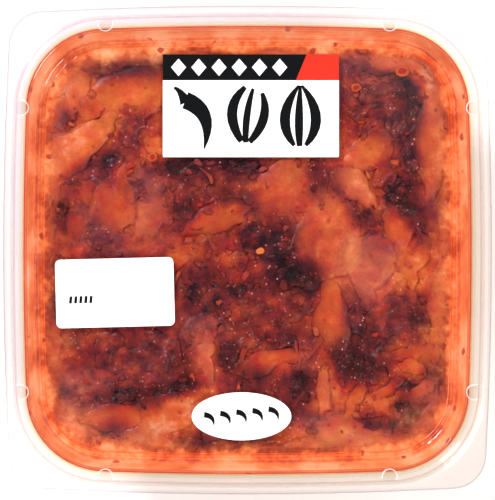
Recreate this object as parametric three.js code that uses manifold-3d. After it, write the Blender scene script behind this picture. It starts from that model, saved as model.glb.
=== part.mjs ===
// A square clear deli tub of cabbage kimchi, shut with a clear lid that plugs into it, with three
// labels stuck on the lid. Millimetres, +Z up. The origin is the middle of the foot, where it stands.
import * as THREE from "three";
import Module from "manifold-3d";

const wasm = await Module();
wasm.setup();

// Driving dimensions
const RIM_HALF = 63.4; // middle of a side of the tub's rim
const RIM_CORNER = 25; // corner radius of the rim
const SIDE_ARC = 1000; // the sides bow outwards on this radius
const HEIGHT = 46; // foot to the top of the lid's rim
const TAB_HALF = 64.5; // the lid's flange, which is squarer than the rim, so its corners are tabs
const TAB_CORNER = 9;
const LID_WALL = 0.5;
const TUB_WALL = 0.6;
const PANEL_DEPTH = 5.5; // the lid's panel lies this far under its rim
const SEAT_GAP = 0.15; // between lid and tub
const FOOD_GAP = 0.3; // between the food and the plastic
const SIDE_STEPS = 6;
const CORNER_STEPS = 8;

// Heights worked out from those
const PANEL_Z = HEIGHT - PANEL_DEPTH;
const FLANGE_Z = HEIGHT - 1.2;
const LEDGE_Z = HEIGHT - 0.9;
const GROOVE_Z = PANEL_Z - 0.8;

// A point of a profile: the half width and corner radius of the outline there, and its height.
// Offsets of the rim's outline keep the centres of its corners.
const onRim = (half, z) => ({ half, corner: Math.max(RIM_CORNER - RIM_HALF + half, 3), z });
const onAxis = (z) => ({ half: 0, corner: 0, z });

// The outline of a square with bowed sides and round corners, counter-clockwise from +X's corner.
function outline({ half, corner, z }) {
  if (half === 0) {
    const steps = 4 * (SIDE_STEPS + CORNER_STEPS);
    return Array.from({ length: steps }, () => new THREE.Vector3(0, 0, z));
  }
  const arc = SIDE_ARC - RIM_HALF + half;
  const gap = arc - half;
  const centre = (Math.sqrt(2 * (arc - corner) ** 2 - gap ** 2) - gap) / 2;
  const turn = Math.atan2(centre, centre + gap);
  const points = [];
  for (let side = 0; side < 4; side++) {
    const east = (side * Math.PI) / 2;
    const place = (x, y) => {
      const [c, s] = [Math.cos(east), Math.sin(east)];
      points.push(new THREE.Vector3(x * c - y * s, x * s + y * c, z));
    };
    for (let i = 0; i < SIDE_STEPS; i++) {
      const a = -turn + (2 * turn * i) / SIDE_STEPS;
      place(arc * Math.cos(a) - gap, arc * Math.sin(a));
    }
    for (let i = 0; i < CORNER_STEPS; i++) {
      const a = turn + ((Math.PI / 2 - 2 * turn) * i) / CORNER_STEPS;
      place(centre + corner * Math.cos(a), centre + corner * Math.sin(a));
    }
  }
  return points;
}

// A turned shape whose turns follow the outlines of its profile instead of circles.
function squareLathe(profile, height = (x, y, z) => z) {
  const steps = 4 * (SIDE_STEPS + CORNER_STEPS);
  const flat = profile.map(({ half, z }) => new THREE.Vector2(half, z));
  const geometry = new THREE.LatheGeometry(flat, steps);
  const position = geometry.attributes.position;
  const rings = profile.map(outline);
  for (let i = 0; i <= steps; i++) {
    rings.forEach((ring, j) => {
      const p = ring[i % steps];
      position.setXYZ(i * rings.length + j, p.x, p.y, height(p.x, p.y, p.z));
    });
  }
  return geometry;
}

// The same profile moved by a distance square to itself, down and outwards when positive.
function moved(profile, distance) {
  return profile.map((p, i) => {
    const ways = [];
    if (i > 0) ways.push([p.half - profile[i - 1].half, p.z - profile[i - 1].z]);
    if (i < profile.length - 1) ways.push([profile[i + 1].half - p.half, profile[i + 1].z - p.z]);
    const normals = ways.map(([h, z]) => [z / Math.hypot(h, z), -h / Math.hypot(h, z)]);
    const sum = normals.reduce(([a, b], [h, z]) => [a + h, b + z], [0, 0]);
    const stretch = distance * (normals.length / (sum[0] ** 2 + sum[1] ** 2));
    const half = p.half === 0 ? 0 : p.half + sum[0] * stretch;
    return { half, corner: Math.max(p.corner + half - p.half, 0), z: p.z + sum[1] * stretch };
  });
}

// A wall of even thickness: the profile is its upper or inner face, from the axis outwards.
const wallOf = (profile, thickness) => [...moved(profile, thickness), ...[...profile].reverse()];

function solidOf(geometry) {
  const seen = new Map();
  const vertices = [];
  const position = geometry.attributes.position;
  const key = (i) => [position.getX(i), position.getY(i), position.getZ(i)].map((v) => v.toFixed(4));
  const index = geometry.index ? [...geometry.index.array] : [...Array(position.count).keys()];
  const corners = index.map((i) => {
    const name = key(i).join();
    if (!seen.has(name)) {
      seen.set(name, seen.size);
      vertices.push(...key(i).map(Number));
    }
    return seen.get(name);
  });
  const triangles = [];
  for (let i = 0; i < corners.length; i += 3) {
    const [a, b, c] = corners.slice(i, i + 3);
    if (a !== b && b !== c && c !== a) triangles.push(a, b, c);
  }
  return new wasm.Manifold(
    new wasm.Mesh({
      numProp: 3,
      vertProperties: new Float32Array(vertices),
      triVerts: new Uint32Array(triangles),
    }),
  );
}

function geometryOf(solid) {
  const mesh = solid.getMesh();
  const geometry = new THREE.BufferGeometry();
  geometry.setAttribute("position", new THREE.BufferAttribute(mesh.vertProperties, 3));
  geometry.setIndex(new THREE.BufferAttribute(mesh.triVerts, 1));
  return geometry;
}

const object = new THREE.Group();

function add(name, geometry, colour, roughness, opacity = 1) {
  const material = new THREE.MeshStandardMaterial({
    color: colour,
    roughness,
    metalness: 0,
    opacity,
    transparent: opacity < 1,
  });
  const mesh = new THREE.Mesh(geometry, material);
  mesh.name = name;
  object.add(mesh);
  return mesh;
}

// The tub: a raised middle in the floor, a foot, tapered walls, a ledge and a rim with a turned-down lip.
const WALL_TOP_HALF = 58.6;
const WALL_FOOT_HALF = 47.6;
const WALL_FOOT_Z = 3.6;
const WALL_TOP_Z = LEDGE_Z - LID_WALL - SEAT_GAP;
const tubInside = [
  onAxis(1.6),
  onRim(33.5, 1.6),
  onRim(35.5, TUB_WALL),
  onRim(44.6, TUB_WALL),
  onRim(46.8, 1.6),
  onRim(WALL_FOOT_HALF, WALL_FOOT_Z),
  onRim(WALL_TOP_HALF, WALL_TOP_Z),
];
const tubRim = [
  onRim(61.0, WALL_TOP_Z),
  onRim(61.4, HEIGHT - LID_WALL - SEAT_GAP),
  onRim(62.1, HEIGHT - LID_WALL - SEAT_GAP),
  onRim(62.5, FLANGE_Z - LID_WALL - SEAT_GAP),
  onRim(RIM_HALF - TUB_WALL, FLANGE_Z - LID_WALL - SEAT_GAP),
  onRim(RIM_HALF, HEIGHT - 4.2),
];
add("tub", squareLathe(wallOf([...tubInside, ...tubRim], TUB_WALL)), 0xf4f2f4, 0.15, 0.3);

// The lid: a flat panel inside a groove, a wall that plugs into the tub, a ledge, a rim and a flange.
const LEDGE_IN_HALF = 58.2;
const LEDGE_OUT_HALF = 60.5;
const lidTop = [
  onAxis(PANEL_Z),
  onRim(54.6, PANEL_Z),
  onRim(55.1, GROOVE_Z),
  onRim(56.1, GROOVE_Z),
  onRim(LEDGE_IN_HALF, LEDGE_Z),
  onRim(LEDGE_OUT_HALF, LEDGE_Z),
  onRim(60.9, HEIGHT),
  onRim(62.8, HEIGHT),
  onRim(63.2, FLANGE_Z),
  { half: TAB_HALF, corner: TAB_CORNER, z: FLANGE_Z },
];
const lidShell = solidOf(squareLathe(wallOf(lidTop, LID_WALL)));

// Eight lugs bridge the lid's ledge, two at each corner, where the straight sides begin.
const LUG_WIDTH = 4;
const LUG_FROM_MIDDLE = 37.5;
const LUG_ROUND = LEDGE_IN_HALF + 2.1; // middle of its round end
const lugShape = new THREE.Shape();
lugShape.moveTo(LEDGE_OUT_HALF + 0.6, -LUG_WIDTH / 2);
lugShape.lineTo(LEDGE_OUT_HALF + 0.6, LUG_WIDTH / 2);
lugShape.lineTo(LUG_ROUND, LUG_WIDTH / 2);
lugShape.absarc(LUG_ROUND, 0, LUG_WIDTH / 2, Math.PI / 2, (3 * Math.PI) / 2, false);
const lugPlate = new THREE.ExtrudeGeometry(lugShape, { depth: 0.9, bevelEnabled: false, curveSegments: 6 });
let lidSolid = lidShell;
for (let side = 0; side < 4; side++) {
  for (const way of [-1, 1]) {
    const place = new THREE.Matrix4().makeRotationZ((side * Math.PI) / 2);
    place.multiply(new THREE.Matrix4().makeTranslation(-0.75, way * LUG_FROM_MIDDLE, LEDGE_Z - 0.3));
    lidSolid = lidSolid.add(solidOf(lugPlate.clone().applyMatrix4(place)));
  }
}
add("lid", geometryOf(lidSolid), 0xf6f4f6, 0.1, 0.25);

// The kimchi: pressed to the shape of the tub, with an uneven top just under the lid.
const FOOD_TOP_Z = GROOVE_Z - LID_WALL - FOOD_GAP;
const FOOD_UNDER_PANEL = PANEL_Z - LID_WALL - FOOD_GAP;
const FOOD_RINGS = 9;
const FOOD_TOP_HALF = 53; // the uneven top ends here, short of the lid's groove
const wallShare = (FOOD_TOP_Z - WALL_FOOT_Z) / (WALL_TOP_Z - WALL_FOOT_Z);
const foodEdgeHalf = THREE.MathUtils.lerp(WALL_FOOT_HALF, WALL_TOP_HALF, wallShare);
const foodSide = [...tubInside.slice(0, -1), onRim(foodEdgeHalf, FOOD_TOP_Z)];
const foodTop = Array.from({ length: FOOD_RINGS }, (_, i) => {
  const half = FOOD_TOP_HALF * (1 - i / FOOD_RINGS);
  return { half, corner: Math.min(RIM_CORNER - RIM_HALF + FOOD_TOP_HALF, half * 0.9), z: FOOD_UNDER_PANEL };
});
const unevenness = (x, y) =>
  0.35 * Math.sin(x / 7.3 + 1.3) * Math.cos(y / 6.1) + 0.3 * Math.sin(x / 11.7 - y / 9.2) - 0.65;
const foodHeight = (x, y, z) => (z === FOOD_UNDER_PANEL ? z + unevenness(x, y) : z);
const foodShoulder = onRim(FOOD_TOP_HALF + 1, FOOD_TOP_Z);
const foodProfile = [...moved(foodSide, -FOOD_GAP), foodShoulder, ...foodTop, onAxis(FOOD_UNDER_PANEL)];
add("kimchi", squareLathe(foodProfile, foodHeight), 0xb5472b, 0.35);

// Labels: thin plates flat on the lid's panel.
const LABEL_THICKNESS = 0.15;
const LABEL_Z = PANEL_Z + 0.1;

function addLabel(name, shape, x, y, turn) {
  const plate = new THREE.ExtrudeGeometry(shape, {
    depth: LABEL_THICKNESS,
    bevelEnabled: false,
    curveSegments: 10,
  });
  const label = add(name, plate, 0xfbfbfb, 0.5);
  label.position.set(x, y, LABEL_Z);
  label.rotation.z = turn;
}

function roundedRectangle(width, depth, radius) {
  const [w, d] = [width / 2, depth / 2];
  const shape = new THREE.Shape();
  shape.moveTo(-w + radius, -d);
  shape.absarc(w - radius, -d + radius, radius, -Math.PI / 2, 0, false);
  shape.absarc(w - radius, d - radius, radius, 0, Math.PI / 2, false);
  shape.absarc(-w + radius, d - radius, radius, Math.PI / 2, Math.PI, false);
  shape.absarc(-w + radius, -d + radius, radius, Math.PI, (3 * Math.PI) / 2, false);
  return shape;
}

const ovalShape = new THREE.Shape();
ovalShape.absellipse(0, 0, 13.3, 6.4, 0, 2 * Math.PI, false, 0);

addLabel("title_label", roundedRectangle(47, 27.4, 0.3), 0.9, 38.5, 0);
addLabel("date_label", roundedRectangle(31.6, 18.3, 1.4), -35.4, -11.4, THREE.MathUtils.degToRad(1.4));
addLabel("oval_label", ovalShape, -1.6, -44.4, 0);

export default object;
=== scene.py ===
# A square clear deli tub of cabbage kimchi, shut with a clear lid that carries three labels.
# The tub is made first, then it is filled, shut, labelled and set on a pale table.
import itertools
import math
import random

import bpy
import numpy as np
from mathutils import Matrix, Vector
from mathutils.bvhtree import BVHTree


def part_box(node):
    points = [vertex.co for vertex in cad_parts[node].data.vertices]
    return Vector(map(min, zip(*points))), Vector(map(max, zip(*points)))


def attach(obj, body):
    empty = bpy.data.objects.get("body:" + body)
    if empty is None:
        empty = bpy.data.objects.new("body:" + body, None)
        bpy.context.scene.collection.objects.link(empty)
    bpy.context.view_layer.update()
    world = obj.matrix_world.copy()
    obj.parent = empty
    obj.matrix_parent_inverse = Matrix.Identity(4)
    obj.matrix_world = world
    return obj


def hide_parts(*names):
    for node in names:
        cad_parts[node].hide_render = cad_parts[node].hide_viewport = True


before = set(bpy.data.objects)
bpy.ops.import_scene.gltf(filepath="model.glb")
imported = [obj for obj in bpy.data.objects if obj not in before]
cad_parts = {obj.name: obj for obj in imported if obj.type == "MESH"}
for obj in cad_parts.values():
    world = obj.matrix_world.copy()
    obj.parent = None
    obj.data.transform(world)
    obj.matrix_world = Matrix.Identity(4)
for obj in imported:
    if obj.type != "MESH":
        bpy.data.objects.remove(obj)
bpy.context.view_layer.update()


# The tub: thermoformed from a 0.6 mm clear sheet. It has a raised middle in the floor, a flat foot,
# tapered bowed walls, a ledge, a rim bead that the lid sits over, and a lip turned down outside.
MM = 0.001
SIDE_CENTRE = 0.9366          # the sides bow: their arcs are drawn from the far side of the tub
REACH = 0.975                 # radius of a side's arc less that of the corner it runs into
TUB_WALL = 0.6 * MM
TUB_INSIDE = [(44.6, 0.6), (46.8, 1.6), (47.6, 3.6), (59.1, 44.45)]
TUB_RIM = [(61.0, 44.45), (61.4, 45.35), (62.1, 45.35), (62.5, 44.15), (62.8, 44.15), (63.4, 41.8)]


def only(piece):
    bpy.ops.object.select_all(action="DESELECT")
    piece.select_set(True)
    bpy.context.view_layer.objects.active = piece


def begin(name, add, **settings):
    """Adds a primitive on its own and opens it in edit mode, with all of it selected."""
    bpy.ops.object.select_all(action="DESELECT")
    add(**settings)
    piece = bpy.context.object
    piece.name = name
    bpy.ops.object.mode_set(mode="EDIT")
    bpy.ops.mesh.select_all(action="SELECT")
    return piece


def draw_line(name, points):
    """A line of edges through the points, drawn by pulling one vertex along."""
    line = begin(name, bpy.ops.mesh.primitive_plane_add, size=MM, location=points[0])
    bpy.ops.mesh.select_mode(type="VERT")
    bpy.ops.mesh.select_all(action="SELECT")
    bpy.ops.mesh.merge(type="CENTER")
    for here, there in zip(points, points[1:]):
        step = Vector(there) - Vector(here)
        bpy.ops.mesh.extrude_vertices_move(TRANSFORM_OT_translate={"value": step})
    return line


def corner_centre(reach):
    """How far along x and y the round corners of an outline are centred."""
    return (math.sqrt(2 * reach ** 2 - SIDE_CENTRE ** 2) - SIDE_CENTRE) / 2


def sweep_square(name, profile, reach=REACH, side_steps=10, corner_steps=14):
    """Sweeps a profile of (half width, height) in mm round a bowed square, and leaves it in edit mode."""
    corner = corner_centre(reach)
    lean = math.atan2(corner, corner + SIDE_CENTRE)
    slant = Vector((math.cos(lean), -math.sin(lean), 0))
    start = [slant * (SIDE_CENTRE + half * MM) + Vector((-SIDE_CENTRE, 0, z * MM)) for half, z in profile]
    ring = draw_line(name, start)
    bpy.ops.mesh.select_all(action="SELECT")
    for side in range(4):
        turn = Matrix.Rotation(side * math.pi / 2, 3, "Z")
        for steps, angle, centre in (
            (side_steps, 2 * lean, Vector((-SIDE_CENTRE, 0, 0))),
            (corner_steps, math.pi / 2 - 2 * lean, Vector((corner, corner, 0))),
        ):
            bpy.ops.mesh.spin(steps=steps, angle=-angle, center=turn @ centre, axis=(0, 0, 1))
    bpy.ops.mesh.select_all(action="SELECT")
    bpy.ops.mesh.remove_doubles(threshold=0.02 * MM)
    bpy.ops.object.mode_set(mode="OBJECT")
    bpy.ops.object.transform_apply()
    bpy.ops.object.mode_set(mode="EDIT")
    return ring


def pick(piece, wanted, kind="FACE"):
    """Selects the faces or edges, in edit mode, whose middle in mm passes the test."""
    bpy.ops.mesh.select_mode(type=kind)
    bpy.ops.mesh.select_all(action="DESELECT")
    bpy.ops.object.mode_set(mode="OBJECT")
    mesh = piece.data
    for part in mesh.polygons if kind == "FACE" else mesh.edges:
        corners = [mesh.vertices[v].co for v in part.vertices]
        part.select = wanted(sum(corners, Vector()) * 1000 / len(corners))
    bpy.ops.object.mode_set(mode="EDIT")


def half_of(at, reach=REACH):
    """How far out a place in mm lies, as the half width of the tub's outline through it."""
    corner, side = corner_centre(reach) / MM, SIDE_CENTRE / MM
    x, y = max(abs(at.x), abs(at.y)), min(abs(at.x), abs(at.y))
    if math.atan2(y, x + side) < math.atan2(corner, corner + side):
        return math.hypot(x + side, y) - side
    return math.hypot(x - corner, y - corner) + math.hypot(corner + side, corner) - side


def finish(piece, *modifiers):
    """Applies modifiers in turn, each given as its type and settings."""
    bpy.ops.object.mode_set(mode="OBJECT")
    only(piece)
    for kind, settings in modifiers:
        modifier = piece.modifiers.new(kind.title(), kind)
        for key, value in settings.items():
            setattr(modifier, key, value)
        bpy.ops.object.modifier_apply(modifier=modifier.name)


class Mixed:
    """A value in a material's nodes. Arithmetic on it adds the Math nodes."""

    def __init__(self, tree, socket=None):
        self.tree, self.socket = tree, socket

    def add(self, kind, settings=None, values=None, out=0):
        node = self.tree.nodes.new(kind)
        for name, setting in (settings or {}).items():
            if name == "stops":
                elements = node.color_ramp.elements
                elements.remove(elements[1])
                elements[0].position, elements[0].color = setting[0]
                for place, tint in setting[1:]:
                    elements.new(place).color = tint
            else:
                setattr(node, name, setting)
        for name, value in (values or {}).items():
            if isinstance(value, Mixed):
                self.tree.links.new(value.socket, node.inputs[name])
            else:
                node.inputs[name].default_value = value
        return Mixed(self.tree, node.outputs[out] if node.outputs else None)

    def output(self, name):
        """Another output of the node that this value comes from."""
        return Mixed(self.tree, self.socket.node.outputs[name])

    def math(self, operation, *values):
        return self.add("ShaderNodeMath", {"operation": operation}, dict(enumerate(values)))

    def __add__(self, other):
        return self.math("ADD", self, other)

    def __sub__(self, other):
        return self.math("SUBTRACT", self, other)

    def __rsub__(self, other):
        return self.math("SUBTRACT", other, self)

    def __mul__(self, other):
        return self.math("MULTIPLY", self, other)

    def __truediv__(self, other):
        return self.math("DIVIDE", self, other)

    def __pow__(self, other):
        return self.math("POWER", self, other)

    __radd__, __rmul__ = __add__, __mul__


def new_finish(name):
    material = bpy.data.materials.new(name)
    material.use_nodes = True
    material.node_tree.nodes.clear()
    return material, Mixed(material.node_tree)


def tint(red, green, blue):
    """A colour as a colour card gives it, 0 to 255, made linear."""
    parts = [v / 255 for v in (red, green, blue)]
    return tuple(v / 12.92 if v < 0.04 else ((v + 0.055) / 1.055) ** 2.4 for v in parts) + (1,)


def note(mesh, name, values):
    """Keeps one number for each vertex, for the material to read."""
    mesh.attributes.new(name, "FLOAT", "POINT").data.foreach_set("value", np.asarray(values, np.float32))


def value_of(start, name, out="Fac"):
    return start.add("ShaderNodeAttribute", {"attribute_name": name}, out=out)


def ramp(start, value, low, high, at_low=0.0, at_high=1.0):
    """Goes from at_low to at_high as the value goes from low to high, and stays there."""
    return start.add("ShaderNodeMapRange", None, {"Value": value, 1: low, 2: high, 3: at_low, 4: at_high})


def clear_plastic(name, roughness, painted_edge_highlight=0.0):
    """Clear sheet: faintly tinted looked through, darker at its edges, and a mirror at a slant.

    It turns from cool to cream across the tub, painted light for the cooler lamp on one side and the
    warmer on the other, and amber where glow says, a painted glow for the juice's light shining into it.
    It darkens where shade says, a painted shade outline, and the milky white mixed into the lugs' sides
    is a painted highlight for the light their edges catch.
    """
    material, start = new_finish(name)
    slant = start.add("ShaderNodeLayerWeight", None, {"Blend": 0.5}, "Facing")
    east = start.add("ShaderNodeSeparateXYZ", None, {0: start.add("ShaderNodeTexCoord", out="Object")})
    # Painted light: the sheet is tinted cool on one side and cream on the other, for the lamps' colours.
    painted_warm_side = ramp(start, east - east.output("Y"), -70 * MM, 70 * MM)
    cool, cream, amber, edge_on = [
        start.add("ShaderNodeBsdfTransparent", None, {"Color": (*colour, 1)})
        for colour in ((0.992, 0.979, 0.986), (0.996, 0.981, 0.963), (0.995, 0.93, 0.80), (0.79, 0.76, 0.77))
    ]
    # Painted highlight: a milky white, mixed in as much as told, for the light that the lugs' edges catch.
    milky = start.add("ShaderNodeBsdfDiffuse", None, {"Color": (0.9, 0.88, 0.9, 1)})
    gloss = start.add("ShaderNodeBsdfGlossy", None, {"Color": (1, 1, 1, 1), "Roughness": roughness})
    seen = cool
    for amount, other in (
        (painted_warm_side, cream),
        (value_of(start, "glow"), amber),
        (start.math("MAXIMUM", slant ** 4, value_of(start, "shade")), edge_on),
        (painted_edge_highlight, milky),
        (slant ** 5 * 0.9 + 0.055, gloss),
    ):
        seen = start.add("ShaderNodeMixShader", None, {0: amount, 1: seen, 2: other})
    start.add("ShaderNodeOutputMaterial", None, {"Surface": seen})
    return material


def face_outwards():
    bpy.ops.mesh.select_all(action="SELECT")
    bpy.ops.mesh.normals_make_consistent(inside=False)


def raise_floor():
    """Raises the middle of the chosen floor, which leaves a flat foot round it."""
    foot, middle, slope, rise = 5.0, 35.5, 1.2, 1.0
    bpy.ops.mesh.inset(thickness=foot * MM, depth=0)
    narrow = middle / (TUB_INSIDE[0][0] - foot)
    bpy.ops.transform.resize(value=(narrow, narrow, 1))
    bpy.ops.mesh.inset(thickness=slope * MM, depth=0)
    bpy.ops.transform.translate(value=(0, 0, rise * MM))


tub = sweep_square("clear_tub", TUB_INSIDE + TUB_RIM)
pick(tub, lambda at: at.z < 0.7 and half_of(at) < 44.8, "EDGE")
bpy.ops.mesh.edge_face_add()
raise_floor()
face_outwards()
finish(
    tub,
    ("BEVEL", {"width": 0.5 * MM, "segments": 3, "limit_method": "ANGLE", "angle_limit": math.radians(12)}),
    ("SOLIDIFY", {"thickness": TUB_WALL, "offset": -1, "use_even_offset": True}),
)
bpy.ops.object.shade_smooth_by_angle(angle=math.radians(50))
# Painted glow: the ledge is tinted amber for the juice's light that shines into it.
GLOW_END, GLOW_FADE, GLOW_FOOT = 60.4, 1.2, 43   # juice shines into the ledge, less and less outwards
note(tub.data, "glow", [
    min(max((GLOW_END - half_of(v.co / MM)) / GLOW_FADE, 0), 1) * (v.co.z > GLOW_FOOT * MM)
    for v in tub.data.vertices
])
tub.data.materials.append(clear_plastic("tub_plastic", 0.08))
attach(tub, "root")
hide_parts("tub")


# The kimchi: cut cabbage packed in red juice right up to the lid. The room is the space inside the shut tub,
# reaching just into the plastic, and the juice fills all of it. The solid pieces are pressed into a lower
# room, which stops below the narrow gap between the lid's wall and the tub's.
ROOM_FOOT = [(44.7, 0.5), (46.9, 1.5), (47.7, 3.6)]
ROOM_GAP = [(59.26, 44.2), (58.45, 44.25), (56.45, 39.25)]
ROOM_TOP = [(54.9, 39.25), (54.3, 40.05)]
PRESS_TOP = [(57.1, 38.5), (55.8, 38.8), (54.5, 39.1), (53.1, 40.05)]


def make_room(name, profile):
    space = sweep_square(name, profile)
    for level, near in ((0.5, 44.9), (40.05, 54.5)):
        pick(space, lambda at: abs(at.z - level) < 0.02 and half_of(at) < near, "EDGE")
        bpy.ops.mesh.edge_face_add()
    pick(space, lambda at: at.z < 0.51)
    raise_floor()
    face_outwards()
    finish(space)
    return space


room = make_room("juice", ROOM_FOOT + ROOM_GAP + ROOM_TOP)
press = make_room("press", ROOM_FOOT + PRESS_TOP)
# The operators leave the faces in a new order at each run. Sorted, a point near two of them always finds
# the same one.
corners = [vertex.co for vertex in press.data.vertices]
walls = BVHTree.FromPolygons(corners, sorted(tuple(face.vertices) for face in press.data.polygons))


def colour_of(stops):
    return [(place, tint(*card)) for place, card in stops]


# Tones of the kimchi, from the near-black ruffled leaf through plum and red to orange stem and pale rib,
# once clean and once through milky juice.
TONES = colour_of([
    (0.00, (30, 14, 20)), (0.12, (50, 22, 28)), (0.26, (86, 29, 34)), (0.40, (122, 39, 39)),
    (0.54, (156, 54, 41)), (0.70, (184, 75, 42)), (0.86, (209, 104, 56)), (1.00, (224, 156, 122)),
])
MILKY = colour_of([
    (0.00, (36, 24, 32)), (0.20, (82, 39, 48)), (0.40, (126, 62, 66)), (0.60, (169, 82, 72)),
    (0.80, (201, 110, 82)), (1.00, (222, 152, 126)),
])


# Where the pieces lie that show through the lid, listed one by one: the plump ribs, the red leaf between them,
# and the dark frilled leaf ends. Each is x, y, length, width, turn, tone, milk, set back, in mm and degrees.
TOP_STEMS = [
    (-46.5, 42, 12, 7, 75, 0.86, 0.1, 0), (-52, 47, 10, 6, 50, 0.9, 0.4, 0.3),
    (-33, 41, 23, 12, 10, 0.84, 0, 0), (-38, 35, 9, 6, 60, 0.78, 0, 0.4),
    (-47, 27, 27, 12, 35, 0.86, 0.1, 0), (-33, 18, 13, 4, 95, 0.64, 0, 0),
    (-36, 13, 14, 12, 70, 0.74, 0.2, 0.2), (-46, 6, 13, 5, 85, 0.62, 0, 0.5),
    (-24.5, 28, 6, 5, 0, 0.84, 0, 0), (-26, 8, 13, 10, 80, 0.62, 0.6, 0.4),
    (9, 16, 20, 14, 5, 0.68, 0.3, 0.2), (-18, -3, 8, 6, 20, 0.68, 0.1, 0.5),
    (-8, 8.5, 19, 6, 14, 0.74, 0, 0.1), (7, -30, 19, 6, 12, 0.76, 0, 0),
    (-11, -29, 13, 5, 90, 0.74, 0.5, 0.3), (23, -18, 19, 9, -75, 0.78, 0.1, 0),
    (21, 5, 21, 17, 80, 0.72, 0.2, 0), (28, 0, 9, 9, 0, 0.78, 0.7, 0.2),
    (31, 26, 15, 9, 10, 0.76, 0.1, 0.2), (28, 17, 13, 9, -60, 0.8, 0.6, 0.2),
    (31, 16, 11, 2.2, -62, 0.95, 0.3, -0.4), (40, 5, 11, 8, 90, 0.78, 0, 0),
    (44, -3, 13, 9, 95, 0.76, 0, 0.1), (49, 25, 23, 9, 90, 0.8, 0.1, 0), (50, 38, 15, 8, 85, 0.8, 0.5, 0.2),
    (36, 51, 12, 7, 0, 0.84, 0.5, 0), (48, 49, 11, 8, -45, 0.88, 0, 0), (33, -6, 15, 12, 80, 0.7, 0.8, 0.3),
    (43, -28, 9, 6, 10, 0.64, 0, 0.4), (49, -28, 9, 5, 90, 0.64, 0, 0.4), (44, -32, 5, 3.5, 0, 0.8, 0, 0),
    (50.5, -22, 10, 2.6, 75, 0.8, 0.1, 0), (36, -38, 10, 4, 30, 0.7, 0, 0.2),
    (37, -42, 8, 4, -60, 0.7, 0, 0.3), (47, -37, 8, 4, 30, 0.78, 0.5, 0.2),
    (28, -42, 12, 3.2, 62, 0.82, 0.1, 0), (20.5, -38, 12, 4, 85, 0.78, 0.5, 0),
    (28, -49, 18, 9, 0, 0.84, 0.7, 0), (36, -53, 16, 6, 0, 0.8, 0.2, 0.1),
    (50, -48, 12, 9, 45, 0.96, 0.8, 0.3), (-53, -27, 23, 6, 90, 0.76, 0.1, 0.1),
    (-20, -43, 18, 10, 5, 0.88, 0, 0), (-38, -44, 18, 6, 0, 0.74, 0.1, 0.2),
    (-47, -48, 11, 8, -40, 0.94, 0.7, 0.4), (-33, -51, 19, 7, 0, 0.8, 0.7, 0.1),
    (-25, -52, 10, 8, 0, 0.8, 0.1, 0.2), (17, -53, 16, 5, 0, 0.78, 0.4, 0.3),
    (-53, 36, 16, 6, 80, 0.82, 0.3, 0.4), (-12, 53.5, 34, 5, 0, 0.78, 0.1, 0.4),
    (14, 53.5, 30, 5, 0, 0.8, 0.3, 0.4), (53, 5, 26, 5, 90, 0.8, 0.3, 0.4),
    (53, -18, 24, 5, 90, 0.8, 0.5, 0.4), (-53.5, 8, 26, 5, 90, 0.72, 0.3, 0.4),
    (-32, 54, 20, 5, 0, 0.8, 0.2, 0.4),
]
TOP_LEAVES = [
    (-40, 19, 11, 8, 0, 0.38, 0.2, 0.5), (-42, 6, 15, 9, -40, 0.38, 0.6, 0.5),
    (-37, 3, 13, 8, -40, 0.42, 0.6, 0.4), (-31, 33, 12, 8, 90, 0.34, 0.1, 0.4),
    (-27, 17, 10, 6, 0, 0.3, 0.9, 0.4), (-10, 2, 14, 7, 0, 0.5, 0, 0.5), (-4, -3, 10, 8, 0, 0.48, 0, 0.6),
    (-13, -21, 12, 8, 20, 0.42, 0.9, 0.5), (-8, -14, 15, 9, -15, 0.46, 0, 0.4),
    (5, -18, 16, 10, -10, 0.44, 0, 0.4), (-2, -22, 14, 8, 0, 0.46, 0.1, 0.5),
    (20, 19, 10, 6, 60, 0.28, 0.1, 0.3), (37, 20, 9, 8, 0, 0.4, 0.1, 0.3),
    (40, 34, 10, 7, 60, 0.32, 0.7, 0.4), (35, 42, 13, 6, 10, 0.38, 0.8, 0.3),
    (33, 38, 13, 5, 10, 0.26, 0.2, 0.4), (32, 46, 8, 4, 0, 0.54, 0.5, 0.3), (32, 33, 8, 5, 0, 0.42, 0, 0.4),
    (30, 50, 9, 5, 0, 0.4, 0.8, 0.3), (35, 0, 9, 8, 0, 0.36, 0.7, 0.4),
    (40, -18, 18, 12, 0, 0.32, 0.3, 0.4), (20, -46, 12, 5, 0, 0.38, 0.9, 0.4),
    (-30, -28, 24, 14, 10, 0.3, 0.1, 0.4), (-38, -24, 10, 9, 0, 0.46, 0.1, 0.3),
    (-24, -30, 9, 8, 0, 0.38, 0.6, 0.3), (-17, -26, 11, 4, 90, 0.3, 0, 0.3),
    (-42, -37, 17, 7, 20, 0.42, 0.9, 0.4), (-46, -41, 8, 6, 0, 0.4, 0.9, 0.4),
    (10, -37, 9, 5, 80, 0.28, 0.1, 0.4), (-20, 4, 16, 12, 30, 0.46, 0.2, 0.9),
    (-24, -12, 18, 12, -10, 0.4, 0.2, 0.8), (-42, -14, 16, 12, 60, 0.42, 0.1, 0.8),
    (0, 11, 16, 9, 0, 0.4, 0.1, 0.8), (12, -14, 15, 10, 30, 0.36, 0, 0.8),
    (18, -28, 12, 9, 80, 0.42, 0.2, 0.7), (34, -26, 14, 10, 60, 0.34, 0.2, 0.7),
    (-50, -4, 16, 8, 90, 0.5, 0.2, 0.8), (-14, 16, 16, 9, 0, 0.38, 0.1, 0.8),
    (3, -38, 14, 9, 0, 0.36, 0.2, 0.9), (42, -42, 12, 9, 20, 0.42, 0, 0.6),
    (-2, -50, 22, 7, 0, 0.44, 0.2, 0.8), (36, 10, 12, 9, 0, 0.42, 0.1, 0.8),
]
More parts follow.
